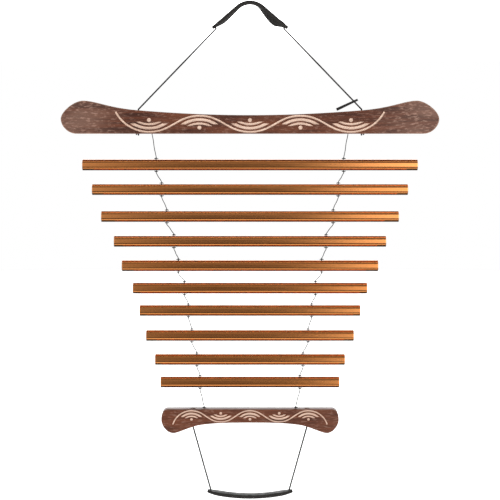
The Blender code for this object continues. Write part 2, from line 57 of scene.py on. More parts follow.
SIDES = {"left": -1, "right": 1}

# %% [markdown]
# The chime is seen straight from its decorated front, from a little above its middle. A long lens
# keeps the two bars and the tubes parallel, so the camera stands 2.2 m off and looks slightly down.

# %% Camera
EYE = Vector((0, -2.2, -0.200))
LOOKED_AT = Vector((0, 0, -0.3168))
camera_data = bpy.data.cameras.new("camera")
camera_data.sensor_width = 36
camera_data.lens = 108.16
camera_data.shift_y = -0.06  # the lens looks a little down past the middle, so the tubes stay level
camera = bpy.data.objects.new("camera", camera_data)
camera.location = EYE
camera.rotation_euler = (LOOKED_AT - EYE).to_track_quat("-Z", "Y").to_euler()
bpy.context.collection.objects.link(camera)
bpy.context.scene.camera = camera
print("camera distance:", round((LOOKED_AT - EYE).length, 3), "m")

# %% [markdown]
# ## Surfaces that several materials share
# Wear, grain and fibre are made once, as node groups with named inputs and outputs. A group only
# gives masks and heights. Each material mixes its own colours from them.

# %% Node helpers


def node_group(name, inputs, outputs):
    """An empty shader group with float or vector inputs and float outputs."""
    group = bpy.data.node_groups.new(name, "ShaderNodeTree")
    for label, kind, value in inputs:
        socket = group.interface.new_socket(label, in_out="INPUT", socket_type=kind)
        if kind == "NodeSocketFloat":
            socket.default_value = value
    for label in outputs:
        group.interface.new_socket(label, in_out="OUTPUT", socket_type="NodeSocketFloat")
    return group, group.nodes.new("NodeGroupInput"), group.nodes.new("NodeGroupOutput")


def add(tree, kind, settings=None, **values):
    """A new node with its settings, and its inputs set or linked by name, or by place as i0, i1."""
    node = tree.nodes.new("ShaderNode" + kind)
    for key, value in (settings or {}).items():
        setattr(node, key, value)
    for label, value in values.items():
        socket = node.inputs[int(label[1:]) if label[0] == "i" and label[1:].isdigit() else label]
        if isinstance(value, bpy.types.NodeSocket):
            tree.links.new(value, socket)
        else:
            socket.default_value = value
    return node


def math_node(tree, operation, a, b=0.0):
    """The result of one Math node."""
    return add(tree, "Math", {"operation": operation}, i0=a, i1=b).outputs[0]


def times(tree, a, b):
    """One value times another."""
    return math_node(tree, "MULTIPLY", a, b)


def plus(tree, a, b):
    """The sum of two values."""
    return math_node(tree, "ADD", a, b)


def ramp(tree, value, low, high, to_low=0.0, to_high=1.0):
    """A smooth rise of a value from low to high."""
    ends = {"From Min": low, "From Max": high, "To Min": to_low, "To Max": to_high}
    smooth = {"interpolation_type": "SMOOTHSTEP"}
    return add(tree, "MapRange", smooth, Value=value, **ends).outputs["Result"]


def mix(tree, share, a, b):
    """Two colours mixed by a share."""
    return add(tree, "Mix", {"data_type": "RGBA"}, i0=share, i6=a, i7=b).outputs[2]


def new_material(name):
    """A material with its Principled shader and the object's own coordinates."""
    material = bpy.data.materials.new(name)
    material.use_nodes = True
    tree = material.node_tree
    return material, tree, tree.nodes["Principled BSDF"], add(tree, "TexCoord").outputs["Object"]


def bump(tree, shader, height, distance):
    """Feeds a height mask to the shader's normal. The distance is the relief's depth in metres."""
    node = add(tree, "Bump", Height=height, Distance=distance, Strength=1.0)
    tree.links.new(node.outputs["Normal"], shader.inputs["Normal"])


# %% [markdown]
# Wood grain runs along each bar. Noise stretched along X gives the long streaks, a finer and
# shorter noise gives the pores, and a wide soft noise makes some areas redder or greyer. The noise
# is solid, so the bars' ends and the carved floors show the same wood cut another way.

# %% Wood grain group
grain, grain_in, grain_out = node_group(
    "wood grain",
    [("Vector", "NodeSocketVector", None)],
    ["Streak", "Pore", "Patch", "Height"],
)


def stretched_noise(scale, **values):
    """Noise with its own number of features per metre along each axis."""
    stretched = add(grain, "Mapping", Vector=grain_in.outputs["Vector"], Scale=scale).outputs[0]
    return add(grain, "TexNoise", Vector=stretched, Scale=1.0, **values).outputs[0]


streak = stretched_noise((11.0, 150.0, 260.0), Detail=6.0, Roughness=0.62, Distortion=0.8)
pore = ramp(grain, stretched_noise((130.0, 420.0, 480.0), Detail=3.0, Roughness=0.6), 0.51, 0.68)
patch = stretched_noise((14.0, 20.0, 40.0), Detail=3.0, Roughness=0.55)
grain_marks = {
    "Streak": ramp(grain, streak, 0.35, 0.65),
    "Pore": pore,
    "Patch": ramp(grain, patch, 0.35, 0.65),
    "Height": math_node(grain, "SUBTRACT", times(grain, streak, 0.5), times(grain, pore, 0.5)),
}
for label, value in grain_marks.items():
    grain.links.new(value, grain_out.inputs[label])
print("group:", grain.name, "nodes:", len(grain.nodes))

# %% [markdown]
# Fine hairs and handling marks are the same thing at two sizes: noise stretched along one axis.
# The group takes the stretch as a vector, so a tube gets long drawn lines and a cord short fibres.

# %% Fibre group
fibre, fibre_in, fibre_out = node_group(
    "fine lines",
    [("Vector", "NodeSocketVector", None), ("Spread", "NodeSocketFloat", 1.0)],
    ["Lines", "Cloud"],
)
spot, spread = fibre_in.outputs["Vector"], fibre_in.outputs["Spread"]
lines = add(fibre, "TexNoise", Vector=spot, Scale=spread, Detail=5.0, Roughness=0.7).outputs[0]
cloud = add(fibre, "TexNoise", Vector=spot, Scale=times(fibre, spread, 0.13), Detail=2.0).outputs[0]
fibre.links.new(ramp(fibre, lines, 0.3, 0.7), fibre_out.inputs["Lines"])
fibre.links.new(ramp(fibre, cloud, 0.35, 0.65), fibre_out.inputs["Cloud"])
print("group:", fibre.name, "nodes:", len(fibre.nodes))


def use_group(tree, group, **values):
    """A group placed in a material with its own values."""
    return add(tree, "Group", {"node_tree": group}, **values).outputs


def edge_wear_and_glint(tree):
    """The mask of the rounded edges, which each mesh carries as a face attribute. The tubes use it for
    a painted highlight on their rims, the other stuffs for wear.
    """
    return add(tree, "Attribute", {"attribute_name": "edge"}).outputs["Fac"]


# %% [markdown]
# The bars are a dark hardwood stained red-brown and lightly oiled. The stain sits darker in the
# streaks. The broad ends are greyer, and the grey, the pale pores and the rubbed edges all grow
# with the distance from the middle. A low specular level keeps the oil from looking like varnish.

# %% Stained wood
wood, tree, shader, place = new_material("stained hardwood")
marks = use_group(tree, grain, Vector=place)
body_tone = mix(tree, marks["Streak"], (0.040, 0.0096, 0.0036, 1), (0.110, 0.0293, 0.0118, 1))
patched = mix(tree, times(tree, marks["Patch"], 0.5), body_tone, (0.145, 0.044, 0.018, 1))
along = add(tree, "SeparateXYZ", Vector=place).outputs[0]
lobe = ramp(tree, math_node(tree, "ABSOLUTE", along), 0.16, 0.25)  # metres from the middle
grey_share = times(tree, lobe, ramp(tree, marks["Patch"], 0.0, 1.0, 0.22, 0.46))
greyed = mix(tree, grey_share, patched, (0.215, 0.138, 0.108, 1))
pores = times(tree, marks["Pore"], ramp(tree, lobe, 0.0, 1.0, 0.30, 0.75))
pored = mix(tree, pores, greyed, (0.340, 0.200, 0.150, 1))
worn = times(tree, edge_wear_and_glint(tree), ramp(tree, lobe, 0.0, 1.0, 0.12, 0.42))
rubbed = mix(tree, worn, pored, (0.420, 0.250, 0.175, 1))
tree.links.new(rubbed, shader.inputs["Base Color"])
tree.links.new(ramp(tree, marks["Streak"], 0.0, 1.0, 0.50, 0.40), shader.inputs["Roughness"])
shader.inputs["Specular IOR Level"].default_value = 0.22
GRAIN_DEPTH = 0.04 * MM
bump(tree, shader, marks["Height"], GRAIN_DEPTH)
print("material:", wood.name)

# %% [markdown]
# The carving cuts through the stain to the pale wood below. It has the same grain in far lighter
# tones, and it is rougher, because nothing seals it.

# %% Bare carved wood
carved, tree, shader, place = new_material("bare carved wood")
marks = use_group(tree, grain, Vector=place)
bare = mix(tree, marks["Streak"], (0.520, 0.360, 0.275, 1), (0.690, 0.510, 0.405, 1))
tinted = mix(tree, times(tree, marks["Pore"], 0.2), bare, (0.480, 0.290, 0.190, 1))
tree.links.new(tinted, shader.inputs["Base Color"])
shader.inputs["Roughness"].default_value = 0.7
bump(tree, shader, marks["Height"], GRAIN_DEPTH)
print("material:", carved.name)

# %% [markdown]
# The tubes are anodised: a dyed, hard skin grown on bright drawn aluminium. It is a true metal with
# a warm tint. The drawing die leaves fine lines along the tube, under a thousandth of a millimetre
# deep, which hardly bend its reflections. The eased rims are painted paler, a painted highlight.

# %% Anodised tube
copper, tree, shader, place = new_material("copper-gold anodised metal")
drawn = add(tree, "Mapping", Vector=place, Scale=(6.0, 900.0, 900.0)).outputs[0]
marks = use_group(tree, fibre, Vector=drawn, Spread=1.0)
tone = mix(tree, marks["Cloud"], (0.775, 0.285, 0.082, 1), (0.825, 0.320, 0.098, 1))
# painted highlight: the eased rims are mixed towards a pale gold, standing in for the light that they
# catch
bright = mix(tree, times(tree, edge_wear_and_glint(tree), 0.6), tone, (0.900, 0.640, 0.430, 1))
tree.links.new(bright, shader.inputs["Base Color"])
tree.links.new(ramp(tree, marks["Lines"], 0.0, 1.0, 0.10, 0.13), shader.inputs["Roughness"])
shader.inputs["Metallic"].default_value = 1.0
shader.inputs["Coat Weight"].default_value = 0.1
shader.inputs["Coat Roughness"].default_value = 0.12
bump(tree, shader, marks["Lines"], 0.00015 * MM)
print("material:", copper.name)

# %% [markdown]
# Braided cord, twisted twine, strap and tag are all matt black stuffs of fine fibres. They differ
# in how fine the fibres are and in how much grey they show. One function makes all four. A little
# sheen stands for the fuzz of loose hairs, and a low specular level keeps them truly black.

# %% Black cords


def black_fibre(name, dark, light, hair, roughness):
    """A matt black stuff of fine fibres, lighter where its hairs stand out."""
    material, tree, shader, place = new_material(name)
    marks = use_group(tree, fibre, Vector=place, Spread=hair)
    tone = mix(tree, marks["Lines"], (*dark, 1), (*light, 1))
    faded = mix(tree, times(tree, edge_wear_and_glint(tree), 0.4), tone, (*(c * 1.8 for c in light), 1))
    tree.links.new(faded, shader.inputs["Base Color"])
    varied = ramp(tree, marks["Cloud"], 0.0, 1.0, roughness - 0.08, roughness + 0.05)
    tree.links.new(varied, shader.inputs["Roughness"])
    shader.inputs["Specular IOR Level"].default_value = 0.2
    shader.inputs["Sheen Weight"].default_value = 0.08
    shader.inputs["Sheen Roughness"].default_value = 0.4
    bump(tree, shader, marks["Lines"], 0.08 * MM)
    return material


cord_black = black_fibre("braided black cord", (0.010,) * 3, (0.032, 0.031, 0.030), 2600.0, 0.62)
twine_black = black_fibre("twisted black twine", (0.005,) * 3, (0.018, 0.018, 0.017), 3800.0, 0.6)
strap_black = black_fibre("black strap", (0.0085, 0.0078, 0.0070), (0.022, 0.0195, 0.0175), 900.0, 0.62)
tag_black = black_fibre("black tag", (0.006, 0.005, 0.005), (0.020, 0.017, 0.017), 1400.0, 0.55)
print("materials:", len(bpy.data.materials))

# %% [markdown]
# ## Turning shapes into pieces
# Every finished piece sits at the origin with its place in its mesh. It rides on one body of the
# fixed model, and stands for the plain solids that it replaces.

# %% Piece helpers


def link(name, data):
    """A new object at the origin."""
    obj = bpy.data.objects.new(name, data)
    bpy.context.collection.objects.link(obj)
    return obj


def baked(obj):
    """The object's shape with its modifiers, as a mesh of its own."""
    bpy.context.view_layer.update()
    graph = bpy.context.evaluated_depsgraph_get()
    return bpy.data.meshes.new_from_object(obj.evaluated_get(graph))


def mark_edges(mesh, is_edge):
    """Gives the mesh its edge mask: 1 on the faces that the test picks."""
    mask = mesh.attributes.new("edge", "FLOAT", "FACE")
    for face in mesh.polygons:
        mask.data[face.index].value = 1.0 if is_edge(face) else 0.0


def keep_sharp(mesh, degrees):
    """Smooth shading, broken where two faces meet more steeply than this."""
    mesh.shade_smooth()
    mesh.set_sharp_from_angle(angle=math.radians(degrees))


def piece(name, mesh, body, slot, *nodes):
    """A finished piece: shown, riding on its body, in place of its plain solids."""
    obj = link(name, mesh)
    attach(obj, body)
    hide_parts(*nodes)
    return obj


def to_mesh(bm, name, *materials):
    """The bmesh as a smooth mesh with outward faces."""
    bmesh.ops.recalc_face_normals(bm, faces=bm.faces[:])
    mesh = bpy.data.meshes.new(name)
    bm.to_mesh(mesh)
    bm.free()
    for material in materials:
        mesh.materials.append(material)
    mesh.shade_smooth()
    return mesh


def from_mesh(mesh, nearest):
    """A bmesh of the mesh, with points closer than this joined."""
    bm = bmesh.new()
    bm.from_mesh(mesh)
    bmesh.ops.remove_doubles(bm, verts=bm.verts[:], dist=nearest)
    return bm


def merge_into(whole, bm):
    """Adds one bmesh's shape to another, and uses it up."""
    mesh = bpy.data.meshes.new("part")
    bm.to_mesh(mesh)
    bm.free()
    whole.from_mesh(mesh)
    bpy.data.meshes.remove(mesh)


def lathe(bm, profile, axis, steps, at=(0, 0, 0), closed=False):
    """Spins a profile about an axis through a point into a closed solid."""
    at = Vector(at)
    verts = [bm.verts.new(at + Vector(p)) for p in profile]
    edges = [bm.edges.new(pair) for pair in zip(verts, verts[1:])]
    if closed:
        edges.append(bm.edges.new((verts[-1], verts[0])))
    geom = verts + edges
    bmesh.ops.spin(bm, geom=geom, axis=axis, cent=at, angle=math.tau, steps=steps, use_merge=True)
    bmesh.ops.remove_doubles(bm, verts=bm.verts[:], dist=0.001 * MM)


def rounded(bm, edges, offset, segments):
    """Rounds edges over with a bevel."""
    bmesh.ops.bevel(
        bm, geom=edges, offset=offset, offset_type="OFFSET", segments=segments,
        profile=0.5, affect="EDGES", material=-1,
    )


def carved_out(obj, cutter, layered=False):
    """The object's mesh with the cutter's shapes taken out. Both objects are used up."""
    cut = obj.modifiers.new("cut", "BOOLEAN")
    cut.operation = "DIFFERENCE"
    cut.solver = "EXACT"
    cut.material_mode = "TRANSFER"
    cut.object = cutter
    cut.use_self = layered
    mesh = baked(obj)
    bpy.data.objects.remove(obj)
    bpy.data.objects.remove(cutter)
    return mesh


# %% [markdown]
# ## Cords
# The four handle cords are braided black cord, pulled straight by the weight below them. Each runs
# from a knot in a hand strap to a knot in a bar. A tube round a straight line is a curve with a
# bevel. Its surface then gets the small diamonds of a braid, raised and sunk by a few hundredths.

# %% Cord sizes and routes
HANDLE_CORD = 1.1 * MM  # radius
TWINE = 0.6 * MM
CORD_HOLE = 1.6 * MM  # radius of the holes in the tag and in the straps
KNOT_GAP = 0.3 * MM  # between a knot and the face that it rests on
KNOT_HEIGHT = 4.4  # in cord radii
UPPER_ROUTE = (Vector((49.293 * MM, 0, -37.464 * MM)), Vector((163.0 * MM, 0, -154.930 * MM)))
LOWER_ROUTE = (Vector((83.963 * MM, 0, -622.650 * MM)), Vector((58.192 * MM, 0, -715.873 * MM)))


def mirrored(point, side):
    """The point, or its twin on the left for a side of -1."""
    return Vector((point.x * side, point.y, point.z))


def tube_along(name, runs, radius, sides=12, profile=None):
    """A mesh round one or more runs of points. A profile curve replaces the plain round section."""
    curve = bpy.data.curves.new(name, "CURVE")
    curve.dimensions = "3D"
    curve.use_fill_caps = True
    curve.resolution_u = 1
    if profile:
        curve.bevel_mode = "OBJECT"
        curve.bevel_object = profile
    else:
        curve.bevel_depth = radius
        curve.bevel_resolution = sides // 4
    for run in runs:
        spline = curve.splines.new("POLY")
        spline.points.add(len(run) - 1)
        for point, (at, size, tilt) in zip(spline.points, run):
            point.co = (*at, 1)
            point.radius = size
            point.tilt = tilt
    obj = link(name, curve)
    mesh = baked(obj)
    bpy.data.objects.remove(obj)
    mesh.shade_smooth()
    return mesh


def rounded_run(start, end, step, radius, twist=0.0):
    """Points from start to end with a round tip at each end. Twist is the length of one turn."""
    start, end = Vector(start), Vector(end)
    way, length = (end - start).normalized(), (end - start).length
    count = max(3, round(length / step))
    tip = ((0.38, 0.92), (0.7, 0.7), (0.92, 0.38))  # (distance past the end, thickness), in radii
    run = [(start - way * radius * back, size, 0.0) for back, size in tip[::-1]]
    for k in range(count + 1):
        tilt = math.tau * length * k / count / twist if twist else 0.0
        run.append((start + way * length * k / count, 1.0, tilt))
    return run + [(end + way * radius * on, size, run[-1][2]) for on, size in tip]


def braid(mesh, start, end, diamond=3.4 * MM):
    """Raises the diamonds of a braid on a straight round cord."""
    way = (end - start).normalized()
    side = Vector((0, 1, 0))
    third = way.cross(side)
    for vertex in mesh.vertices:
        along = (vertex.co - start).dot(way)
        out = vertex.co - start - way * along
        angle = math.atan2(out.dot(third), out.dot(side))
        turn = math.tau * along / diamond
        swell = math.sin(4 * angle + turn) * math.sin(4 * angle - turn)
        vertex.co += out * 0.035 * swell
    return mesh


# %% [markdown]
# ## Tag
# A small flat tag is threaded on the right upper cord, and its free end leans on the bar. It is
# three layers of black leather, so fine seams run round its edge. Each layer is a plate with
# rounded corners, and the hole for the cord is cut through them all at the cord's own slope.

# %% Tag
TAG_HOLE = Vector((151.827 * MM, 0, -143.388 * MM))
TAG_SLOPE = math.radians(25)


def tag_layers():
    """Three stacked plates with a thinner core between them, lying flat with the hole at x = 0."""
    whole = bmesh.new()
    for z, thick, less in ((-1.02, 0.96, 0.0), (0, 0.96, 0.0), (1.02, 0.96, 0.0), (0, 2.2, 0.35)):
        bm = bmesh.new()
        size = Vector((34 - 2 * less, 10 - 2 * less, thick)) * MM
        at = Matrix.Translation((-11 * MM, 0, z * MM)) @ Matrix.Diagonal((*size, 1))
        bmesh.ops.create_cube(bm, size=1, matrix=at)
        uprights = [e for e in bm.edges if abs(e.verts[0].co.z - e.verts[1].co.z) > thick * MM / 2]
        rounded(bm, uprights, 3 * MM - less * MM, 7)
        rims = [e for e in bm.edges if abs(e.verts[0].co.z - e.verts[1].co.z) < 1e-7]
        rounded(bm, rims, 0.16 * MM, 2)
        merge_into(whole, bm)
    for vertex in whole.verts:  # the layers spread a little towards the free end
        vertex.co.z *= 1.05 + 0.28 * min(1.0, max(0.0, -vertex.co.x / (20 * MM)))
    return whole


blank = tag_layers()
leaning = Matrix.Translation(TAG_HOLE) @ Matrix.Rotation(-TAG_SLOPE, 4, "Y")
bmesh.ops.transform(blank, matrix=leaning, verts=blank.verts[:])
bm = bmesh.new()
along = (UPPER_ROUTE[0] - UPPER_ROUTE[1]).normalized()
turn = Vector((0, 0, 1)).rotation_difference(along).to_matrix().to_4x4()
bmesh.ops.create_cone(
    bm, cap_ends=True, segments=32, radius1=CORD_HOLE, radius2=CORD_HOLE, depth=24 * MM,
    matrix=Matrix.Translation(TAG_HOLE) @ turn,
)
plate = link("tag", to_mesh(blank, "tag", tag_black))
mesh = carved_out(plate, link("tag_drill", to_mesh(bm, "tag_drill", tag_black)), layered=True)
keep_sharp(mesh, 40)
mark_edges(mesh, lambda face: face.area < 0.6e-6)
tag = piece("cord_tag_leather", mesh, "cord_tag", "tag", "cord_tag")
print(tag.name, len(mesh.polygons), "faces")

# %% [markdown]
# Each handle cord has its real length and thickness, and follows its points.
# Nothing sags, because the chime hangs on it. A bead of points closes each end, so the
# cord meets the stub in its strap or bar with a round end.

# %% Handle cords


def handle_cord(name, top, bottom, body, on_it=()):
    """One taut cord, with its real length and diameter."""
    run = rounded_run(top, bottom, 0.42 * MM, HANDLE_CORD)
    mesh = tube_along(name, [run], HANDLE_CORD, sides=28)
    mesh.materials.append(cord_black)
    obj = piece(name + "_braid", braid(mesh, top, bottom), body, "handle_cord", name)
    return obj


for word, side in SIDES.items():
    ends = [mirrored(end, side) for end in UPPER_ROUTE]
    handle_cord(f"upper_cord_{word}", *ends, "upper_cords", [tag] if side > 0 else [])
    handle_cord(f"lower_cord_{word}", *(mirrored(end, side) for end in LOWER_ROUTE), "lower_cords")

# %% [markdown]
# The thin ladder cords are three-strand twine. A profile with three lobes that turns as it runs
# along the line looks just like laid strands, with no strand modelled on its own.

# %% Twine and knots
LAY = 3.6 * MM  # length of one full turn of the strands


def strand_profile(radius, strands=3, points=18):
    """A closed flat curve with one lobe for each strand."""
    curve = bpy.data.curves.new("strands", "CURVE")
    curve.dimensions = "2D"
    spline = curve.splines.new("POLY")
    spline.points.add(points - 1)
    spline.use_cyclic_u = True
    for k, point in enumerate(spline.points):
        angle = math.tau * k / points
        reach = radius * (0.84 + 0.16 * abs(math.cos(strands * angle / 2)))
        point.co = (reach * math.cos(angle), reach * math.sin(angle), 0, 1)
    return link("strands", curve)


def wound_knot(start, way, radius, height, turns):
    """A cord wound round itself: a tight coil that starts and ends on the line."""
    start, way = Vector(start), Vector(way)
    side = Vector((1, 0, 0)) if abs(way.x) < 0.9 else Vector((0, 0, 1))
    side = (side - way * side.dot(way)).normalized()
    third = way.cross(side)
    count = round(14 * turns)
    run = []
    for k in range(count + 1):
        share = k / count
        out = (2.6 - 1.2 * share) * radius * min(1, 6 * share, 6 * (1 - share))
        angle = math.tau * turns * share
        along = radius + share * (height - 2 * radius)
        at = start + way * along + (side * math.cos(angle) + third * math.sin(angle)) * out
        run.append((at, 0.98, angle * 1.5))
    return run


def slack_run(start, end, step, radius, phase):
    """A twine run with the small kinks that tying leaves in it, none at its ends."""
    run = rounded_run(start, end, step, radius, LAY)
    low, high = Vector(start).z, Vector(end).z
    bent = []
    for at, size, tilt in run:
        share = min(1.0, max(0.0, (at.z - low) / (high - low)))
        wave = math.sin(math.pi * share) * math.sin(math.tau * share + phase)
        bent.append((at + Vector((0.35 * MM, 0.3 * MM * math.cos(phase), 0)) * wave, size, tilt))
    return bent


twine_section = strand_profile(TWINE)


def twine_piece(node, body, runs):
    """A stretch of twine with its knots."""
    mesh = tube_along(node, runs, TWINE, profile=twine_section)
    mesh.materials.append(twine_black)
    piece(node + "_twine", mesh, body, "ladder_cord", node)


def ladder_stretch(name, body, start, x, top, bottom, phase):
    """Twine from its start to x, knotted above one face and below another, and on to the next."""
    height = KNOT_HEIGHT * TWINE
    over, under = Vector((x, 0, top + KNOT_GAP)), Vector((x, 0, bottom - KNOT_GAP))
    above, below = over + Vector((0, 0, height)), under - Vector((0, 0, height + KNOT_GAP + TWINE))
    runs = [
        slack_run(start, above, 0.45 * MM, TWINE, phase),
        rounded_run(above, below, 0.6 * MM, TWINE, LAY),
        wound_knot(over, (0, 0, 1), TWINE, height, 2),
        wound_knot(under, (0, 0, -1), TWINE, height, 2),
    ]
    for face, way in ((over, 1), (under, -1)):  # two short tails stand out of each knot
        for side in SIDES.values():
            inner = face + Vector((side * 0.8, 0, way * 1.5)) * MM
            outer = face + Vector((side * 2.5, 0, way * 0.75)) * MM
            runs.append(rounded_run(inner, outer, 0.5 * MM, 0.9 * TWINE, LAY))
    twine_piece(name, body, runs)


# %% [markdown]
# ## Tubes
# Each tube is drawn aluminium with a copper-gold anodised skin. Its rims are eased, and two small
# cross holes at its still points let the cords through. A thin rectangle spun about the tube's
# axis makes the wall. The rims are bevelled, and the holes are cut last.

# %% Tubes and their cords
WALL = 1.2 * MM
HOLE_SHARE = 0.28  # hole's distance from the middle, as a share of the length
TWINE_HOLE = TWINE + 0.5 * MM
pivots = {joint["child"]: joint["pos_m"] for joint in frame["joints"] if joint["type"] == "hinge"}


def tube(name, body):
    """One tube with eased rims and two cord holes."""
    low, high = (Vector(corner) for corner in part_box(name))
    length, radius = high.x - low.x, (high.z - low.z) / 2
    centre = (low + high) / 2
    bm = bmesh.new()
    half, bore = length / 2, radius - WALL
    profile = [(-half, 0, radius), (half, 0, radius), (half, 0, bore), (-half, 0, bore)]
    lathe(bm, profile, (1, 0, 0), 64, centre, closed=True)
    rims = []
    for e in bm.edges:
        a, b = (v.co - centre for v in e.verts)
        if abs(a.x - b.x) < 0.01 * MM and abs(a.yz.length - b.yz.length) < 0.01 * MM:
            rims.append(e)
    rounded(bm, rims, 0.42 * MM, 3)
    for side in SIDES.values():  # a ring just inside each rim keeps the long faces' shading straight
        plane = centre + Vector((side * (half - 1.2 * MM), 0, 0))
        everything = bm.verts[:] + bm.edges[:] + bm.faces[:]
        bmesh.ops.bisect_plane(bm, geom=everything, plane_co=plane, plane_no=(1, 0, 0))
    pipe = link(name, to_mesh(bm, name, copper))
    bm = bmesh.new()
    for side in SIDES.values():
        at = Matrix.Translation(centre + Vector((side * HOLE_SHARE * length, 0, 0)))
        bmesh.ops.create_cone(
            bm, cap_ends=True, segments=24, radius1=TWINE_HOLE, radius2=TWINE_HOLE,
            depth=3 * radius, matrix=at,
        )
    mesh = carved_out(pipe, link("drill", to_mesh(bm, "drill", copper)))
    keep_sharp(mesh, 34)
    # the eased rims, which carry the tube's painted highlight
    mark_edges(mesh, lambda face: 0.2 < abs(face.normal.x) < 0.98)
    piece(name + "_metal", mesh, body, "tube", name)
    return length, centre.z, radius


LADDER_START = 143.2 * MM  # the cords leave the upper bar here
start_x = LADDER_START
for number in range(1, 11):
    rung = f"rung_{number:02d}"
    length, z, radius = tube(f"tube_{number:02d}", rung)
    x = HOLE_SHARE * length
    for word, side in SIDES.items():
        start = (side * start_x, 0, pivots[rung][2])
        name, phase = f"ladder_{number:02d}_{word}", 1.7 * number + side
        ladder_stretch(name, rung, start, side * x, z + radius, z - radius, phase)
    start_x = x
    print(rung, "tube length", round(length / MM, 1), "mm, cord at", round(x / MM, 1), "mm")

# %% [markdown]
# ## Bars
# Each bar is one plank, sawn to a smooth outline, with its long edges rounded over. A closed
# Bezier curve holds the outline. Given depth and a bevel, it becomes the plank in one step.

# %% Bar blanks
BAR_DEPTH = 20 * MM
BAR_EDGE = 1.2 * MM


def half_outline(half, lobe, waist, shoulder_at, lean, shoulder_rise, peak_at, reach, foot_at, tail):
    """Knots of one half of a bar's outline: (point, handle back, handle on), in metres."""
    rise = lobe - waist
    shoulder = (half - shoulder_at, waist + shoulder_rise * rise)
    return [
        ((0, waist), (-reach[0], 0), (reach[0], 0)),
        (shoulder, (-reach[1], -lean[0] * rise), (reach[2], lean[1] * rise)),
        ((half - peak_at, lobe), (-reach[3], 0), (reach[4], 0)),
        ((half, reach[5] * lobe), (0, reach[6]), (0, -reach[7])),
        ((half - foot_at, 0), (tail, 0), (0, 0)),
    ]


UPPER_HALF = half_outline(
    275.5 * MM, 48 * MM, 27 * MM, 110 * MM, (0.157, 0.157), 0.348, 32.5 * MM,
    (70 * MM, 40 * MM, 40 * MM, 18 * MM, 13 * MM, 0.45, 10.5 * MM, 10.7 * MM), 22.5 * MM, 12 * MM,
)
LOWER_HALF = half_outline(
    130.5 * MM, 35.5 * MM, 20 * MM, 58.5 * MM, (0.174, 0.142), 0.213, 17.5 * MM,
    (35 * MM, 20 * MM, 16 * MM, 8 * MM, 9 * MM, 0.43, 9.5 * MM, 9.5 * MM), 9.5 * MM, 6 * MM,
)


def bar_blank(name, half, flat_z, up):
    """A plank with the mirrored outline, its flat long edge at flat_z, standing in the XZ plane."""
    curve = bpy.data.curves.new(name, "CURVE")
    curve.dimensions = "2D"
    curve.fill_mode = "BOTH"
    curve.resolution_u = 14
    curve.extrude = BAR_DEPTH / 2 - BAR_EDGE
    curve.bevel_depth = BAR_EDGE
    curve.bevel_resolution = 3
    curve.offset = -BAR_EDGE
    knots = half[:]
    for point, back, on in half[:0:-1]:
        knots.append(((-point[0], point[1]), (-on[0], on[1]), (-back[0], back[1])))
    spline = curve.splines.new("BEZIER")
    spline.bezier_points.add(len(knots) - 1)
    spline.use_cyclic_u = True
    for knot, (point, back, on) in zip(spline.bezier_points, knots):
        knot.co = (*point, 0)
        knot.handle_left_type = knot.handle_right_type = "FREE"
        knot.handle_left = (point[0] + back[0], point[1] + back[1], 0)
        knot.handle_right = (point[0] + on[0], point[1] + on[1], 0)
    blank = link(name, curve)
    mesh = baked(blank)
    bpy.data.objects.remove(blank)
    standing = Matrix.Rotation(math.pi / 2, 4, "X") @ Matrix.Diagonal((1, up, 1, 1))
    mesh.transform(Matrix.Translation((0, 0, flat_z)) @ standing)
    return link(name, to_mesh(from_mesh(mesh, 0.01 * MM), name, wood))


# %% [markdown]
# The front of each bar carries a carved wave. In every bend of the wave sit a thick crescent, a
# thin crescent and a dot, cut down to the pale bare wood. A round-nosed cutter leaves the wave
# line, so its cutter is a tube along the wave. The crescents and dots are shallow flat pockets.

# %% Carving cutters
CARVED = 0.8 * MM  # depth of the carving
FRONT = -BAR_DEPTH / 2
FLAT = 0.9995  # a face whose normal keeps this much of Y belongs to the front or the back


def wave_line(trough, crest, half_wave, last, end_radius, end_reach, first_is_trough):
    """Points (x, z) of the wave: a rounded swing up to x = last, then an arc of a circle."""
    middle, swing = (trough + crest) / 2, (crest - trough) / 2
    sign = -1 if first_is_trough else 1
    points = []
    steps = round(last / (1.5 * MM))
    for k in range(steps):
        x = last * k / steps
        s = math.cos(math.pi * x / half_wave)
        points.append((x, middle + sign * swing * s * (1.15 - 0.15 * s * s)))
    final = middle + sign * swing * math.cos(math.pi * last / half_wave)
    sweep = math.asin(end_reach / end_radius)
    for k in range(19):
        angle = sweep * k / 18
        height = final + math.copysign(end_radius, middle - final) * (1 - math.cos(angle))
        points.append((last + end_radius * math.sin(angle), height))
    return [(-x, z) for x, z in points[:0:-1]] + points


def groove_cutter(points, width):
    """A tube along the wave that cuts a round-nosed groove of this width, with round ends."""
    nose = (width**2 / 4 + CARVED**2) / (2 * CARVED)
    y = FRONT - nose + CARVED
    line = [Vector((x, y, z)) for x, z in points]
    ends = []
    for end, inner in ((line[0], line[1]), (line[-1], line[-2])):
        way = (end - inner).normalized()
        tip = ((0.4, 0.97), (0.75, 0.86), (1.0, 0.72))
        ends.append([(end + way * width / 2 * on, size, 0.0) for on, size in tip])
    run = ends[0][::-1] + [(at, 1.0, 0.0) for at in line] + ends[1]
    return tube_along("groove", [run], nose, sides=32)


def pocket(bm, region):
    """Pulls flat faces just before the front into a cutter as deep as the carving."""
    swept = bmesh.ops.extrude_face_region(bm, geom=region)["geom"]
    moved = [v for v in swept if isinstance(v, bmesh.types.BMVert)]
    bmesh.ops.translate(bm, verts=moved, vec=(0, CARVED + 1 * MM, 0))


